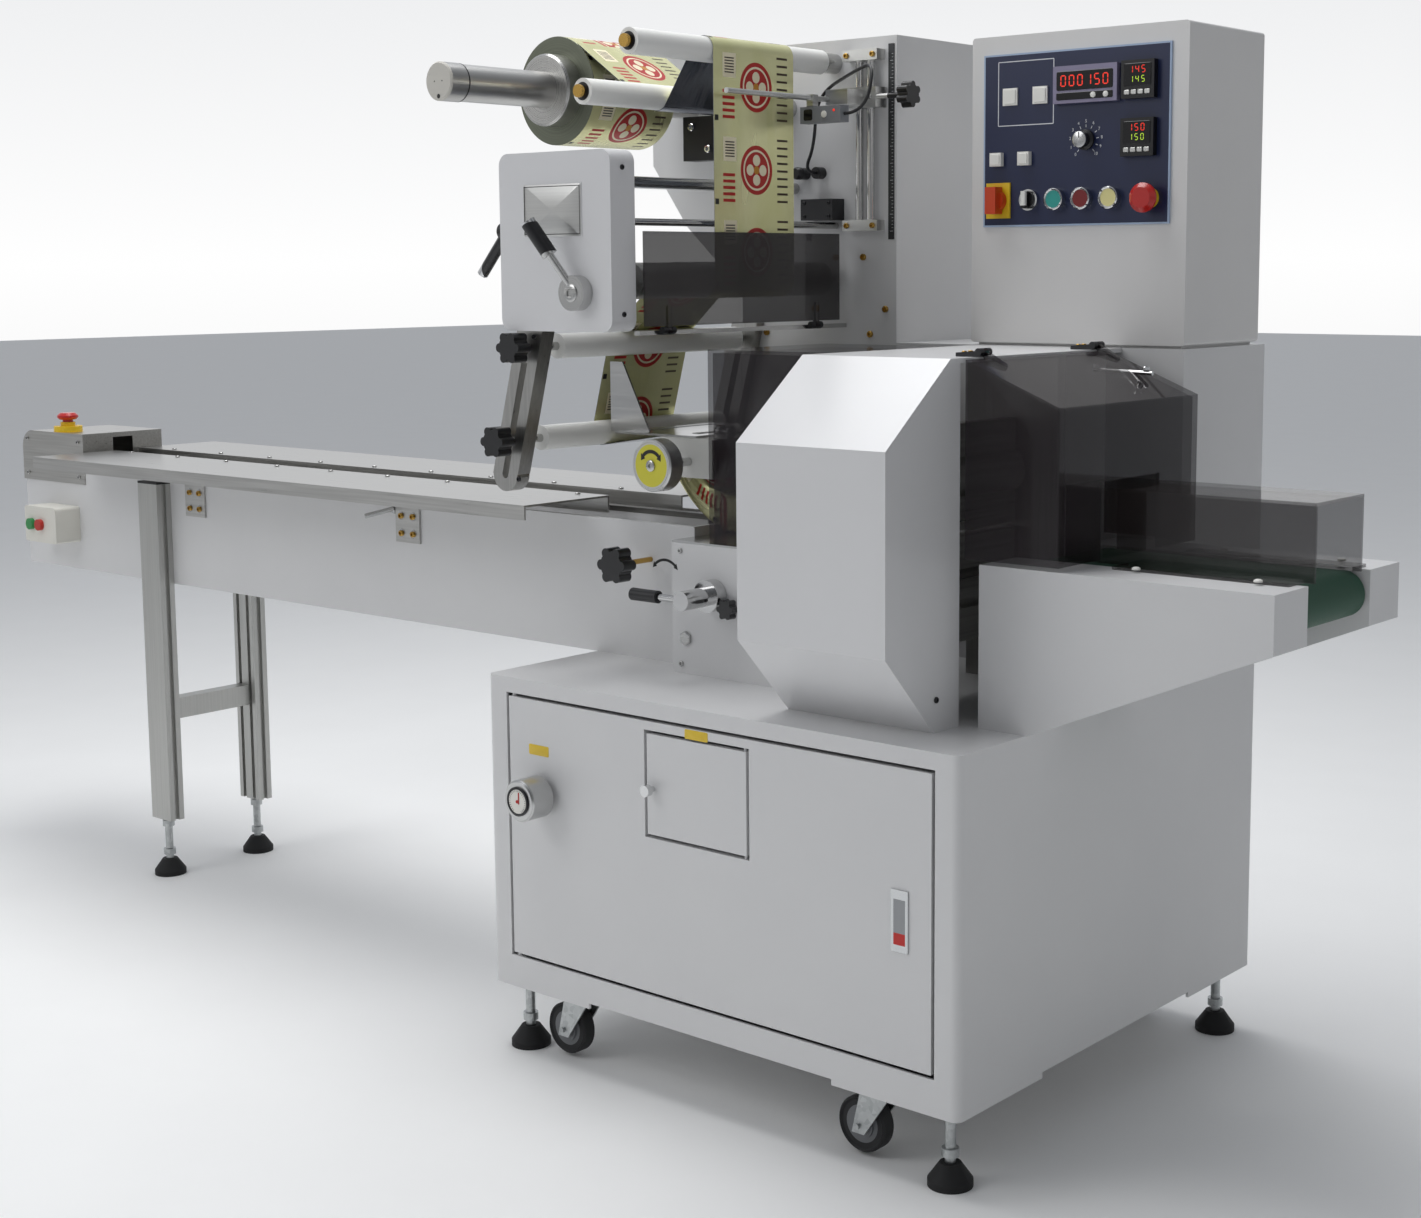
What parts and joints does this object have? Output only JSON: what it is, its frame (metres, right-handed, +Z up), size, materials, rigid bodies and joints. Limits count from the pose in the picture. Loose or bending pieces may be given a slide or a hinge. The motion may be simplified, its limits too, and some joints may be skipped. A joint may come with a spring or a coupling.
{
  "type": "horizontal flow wrapper",
  "caption": "Floor-standing packaging machine that folds film round products fed by a chain conveyor, seals it lengthwise and across, and carries the packs out on a belt.",
  "frame": {"origin": "on the floor, in the middle of the length and depth of the bounding box", "axes": "+X is the way the product travels, -Y is the operator side, +Z is up"},
  "size_m": [2.773, 0.81, 1.481],
  "materials": {
    "white_coat": "satin white-grey powder coat",
    "stainless": "brushed stainless sheet",
    "bright_steel": "bright zinc or chrome plate",
    "alu": "natural anodised aluminium",
    "cast_alu": "cast aluminium, sanded",
    "roller_white": "white acetal",
    "black_plastic": "black duroplast",
    "foot_rubber": "black rubber foot on a zinc stud",
    "wheel_rubber": "black rubber tyre",
    "smoked": "dark smoked acrylic sheet",
    "film_gold": "printed metallised film",
    "roll_paper": "wound film, dark edge",
    "belt_green": "dark green belt",
    "chain_steel": "oiled steel chain",
    "panel_navy": "dark panel sheet",
    "red_plastic": "red plastic button",
    "yellow_disc": "yellow disc on a white wheel",
    "cord_black": "black cable",
    "station_white": "white plastic box"
  },
  "bodies": {
    "machine": {"cabinet_shell": "white_coat", "levelling_feet": "foot_rubber", "caster_forks": "bright_steel", "infeed_frame": "white_coat", "infeed_legs": "alu", "product_guides": "stainless", "infeed_chain": "chain_steel", "end_case": "stainless", "switch_station": "station_white", "bed_housing": "white_coat", "forming_plates": "stainless", "forming_head": "cast_alu", "clamp_knobs": "black_plastic", "seal_cover": "white_coat", "seal_frame": "bright_steel", "cover_hinges": "black_plastic", "feed_guard": "smoked", "rear_housing": "white_coat", "tower": "white_coat", "control_box": "white_coat", "control_panel": "panel_navy", "drive_box": "white_coat", "slotted_arms": "bright_steel", "rods_and_axles": "bright_steel", "film": "film_gold", "sensor_rails": "alu", "sensor_carriage": "alu", "tower_fittings": "black_plastic", "sensor_lead": "cord_black", "discharge_frames": "white_coat", "discharge_belt": "belt_green", "belt_rollers": "bright_steel", "discharge_tunnel": "smoked"},
    "door": {"cabinet_door": "white_coat"},
    "hatch_body": {"hatch": "white_coat"},
    "dial": {"setting_dial": "alu"},
    "cover": {"exit_cover": "smoked"},
    "film_flap": {"film_cover": "smoked"},
    "nip_release": {"nip_lever": "bright_steel"},
    "reel": {"reel_spindle": "alu", "film_roll": "roll_paper"},
    "idler_1": {"roller_1": "roller_white"},
    "idler_2": {"roller_2": "roller_white"},
    "idler_3": {"roller_3": "roller_white"},
    "idler_4": {"roller_4": "roller_white"},
    "draw": {"draw_roller": "alu"},
    "nip": {"nip_roller": "wheel_rubber"},
    "jaw_top": {"upper_jaw": "bright_steel"},
    "jaw_bottom": {"lower_jaw": "bright_steel"},
    "width_wheel": {"width_handwheel": "yellow_disc"},
    "clamp_lever": {"bed_lever": "bright_steel"},
    "panel_stop": {"panel_stop_button": "red_plastic"},
    "infeed_stop": {"infeed_stop_button": "red_plastic"},
    "power": {"power_switch": "red_plastic"},
    "selector": {"film_selector": "black_plastic"},
    "speed": {"speed_knob": "black_plastic"},
    "wheel_front_left": {"caster_wheel_front_left": "wheel_rubber"},
    "wheel_front_right": {"caster_wheel_front_right": "wheel_rubber"},
    "wheel_rear_left": {"caster_wheel_rear_left": "wheel_rubber"},
    "wheel_rear_right": {"caster_wheel_rear_right": "wheel_rubber"}
  },
  "joints": [
    {"name": "door_turn", "type": "hinge", "parent": "machine", "child": "door", "pos_m": [0.2755, -0.349, 0.34], "axis": [0, 0, -1], "range_deg": [0, 110]},
    {"name": "hatch_body_turn", "type": "hinge", "parent": "door", "child": "hatch_body", "pos_m": [0.7125, -0.35, 0.44], "axis": [0, 0, 1], "range_deg": [0, 110]},
    {"name": "dial_turn", "type": "hinge", "parent": "door", "child": "dial", "pos_m": [0.3385, -0.375, 0.397], "axis": [0, 1, 0], "continuous": true},
    {"name": "cover_turn", "type": "hinge", "parent": "machine", "child": "cover", "pos_m": [0.9575, -0.045, 1.03], "axis": [0, -1, 0], "range_deg": [0, 85]},
    {"name": "film_flap_turn", "type": "hinge", "parent": "machine", "child": "film_flap", "pos_m": [0.4795, -0.045, 1.052], "axis": [0, 1, 0], "range_deg": [0, 90]},
    {"name": "nip_release_turn", "type": "hinge", "parent": "machine", "child": "nip_release", "pos_m": [0.4085, -0.345, 1.104], "axis": [0, 1, 0], "range_deg": [0, 60]},
    {"name": "reel_turn", "type": "hinge", "parent": "machine", "child": "reel", "pos_m": [0.1575, -0.045, 1.401], "axis": [0, 1, 0], "continuous": true},
    {"name": "idler_1_turn", "type": "hinge", "parent": "machine", "child": "idler_1", "pos_m": [0.4525, -0.045, 1.442], "axis": [0, 1, 0], "continuous": true},
    {"name": "idler_2_turn", "type": "hinge", "parent": "machine", "child": "idler_2", "pos_m": [0.3635, -0.045, 1.38], "axis": [0, 1, 0], "continuous": true},
    {"name": "idler_3_turn", "type": "hinge", "parent": "machine", "child": "idler_3", "pos_m": [0.2765, -0.045, 1.027], "axis": [0, 1, 0], "continuous": true},
    {"name": "idler_4_turn", "type": "hinge", "parent": "machine", "child": "idler_4", "pos_m": [0.2395, -0.045, 0.893], "axis": [0, 1, 0], "continuous": true},
    {"name": "draw_turn", "type": "hinge", "parent": "machine", "child": "draw", "pos_m": [0.4455, -0.045, 1.12], "axis": [0, 1, 0], "continuous": true},
    {"name": "nip_turn", "type": "hinge", "parent": "machine", "child": "nip", "pos_m": [0.3937, -0.045, 1.12], "axis": [0, 1, 0], "continuous": true},
    {"name": "jaw_top_turn", "type": "hinge", "parent": "machine", "child": "jaw_top", "pos_m": [0.8395, -0.045, 0.857], "axis": [0, 1, 0], "continuous": true},
    {"name": "jaw_bottom_turn", "type": "hinge", "parent": "machine", "child": "jaw_bottom", "pos_m": [0.8395, -0.045, 0.705], "axis": [0, 1, 0], "continuous": true},
    {"name": "width_wheel_turn", "type": "hinge", "parent": "machine", "child": "width_wheel", "pos_m": [0.4495, -0.045, 0.863], "axis": [0, 1, 0], "continuous": true},
    {"name": "clamp_lever_turn", "type": "hinge", "parent": "machine", "child": "clamp_lever", "pos_m": [0.5095, -0.205, 0.678], "axis": [0, 1, 0], "range_deg": [0, 90]},
    {"name": "panel_stop_slide", "type": "slide", "parent": "machine", "child": "panel_stop", "axis": [0, 1, 0], "range_m": [0, 0.004]},
    {"name": "infeed_stop_slide", "type": "slide", "parent": "machine", "child": "infeed_stop", "axis": [0, 0, -1], "range_m": [0, 0.004]},
    {"name": "power_turn", "type": "hinge", "parent": "machine", "child": "power", "pos_m": [0.7545, 0.155, 1.23], "axis": [0, 1, 0], "range_deg": [0, 90]},
    {"name": "selector_turn", "type": "hinge", "parent": "machine", "child": "selector", "pos_m": [0.8065, 0.155, 1.23], "axis": [0, 1, 0], "range_deg": [-45, 45]},
    {"name": "speed_turn", "type": "hinge", "parent": "machine", "child": "speed", "pos_m": [0.8979, 0.155, 1.31], "axis": [0, 1, 0], "range_deg": [-150, 150]},
    {"name": "wheel_front_left_turn", "type": "hinge", "parent": "machine", "child": "wheel_front_left", "pos_m": [0.3395, -0.31, 0.0425], "axis": [0, 1, 0], "continuous": true},
    {"name": "wheel_front_right_turn", "type": "hinge", "parent": "machine", "child": "wheel_front_right", "pos_m": [0.8795, -0.31, 0.0425], "axis": [0, 1, 0], "continuous": true},
    {"name": "wheel_rear_left_turn", "type": "hinge", "parent": "machine", "child": "wheel_rear_left", "pos_m": [0.3395, 0.36, 0.0425], "axis": [0, 1, 0], "continuous": true},
    {"name": "wheel_rear_right_turn", "type": "hinge", "parent": "machine", "child": "wheel_rear_right", "pos_m": [0.8795, 0.36, 0.0425], "axis": [0, 1, 0], "continuous": true}
  ],
  "couplings": [
    {"joint": "nip_turn", "follows": "draw_turn", "ratio": -1},
    {"joint": "jaw_bottom_turn", "follows": "jaw_top_turn", "ratio": -1}
  ]
}
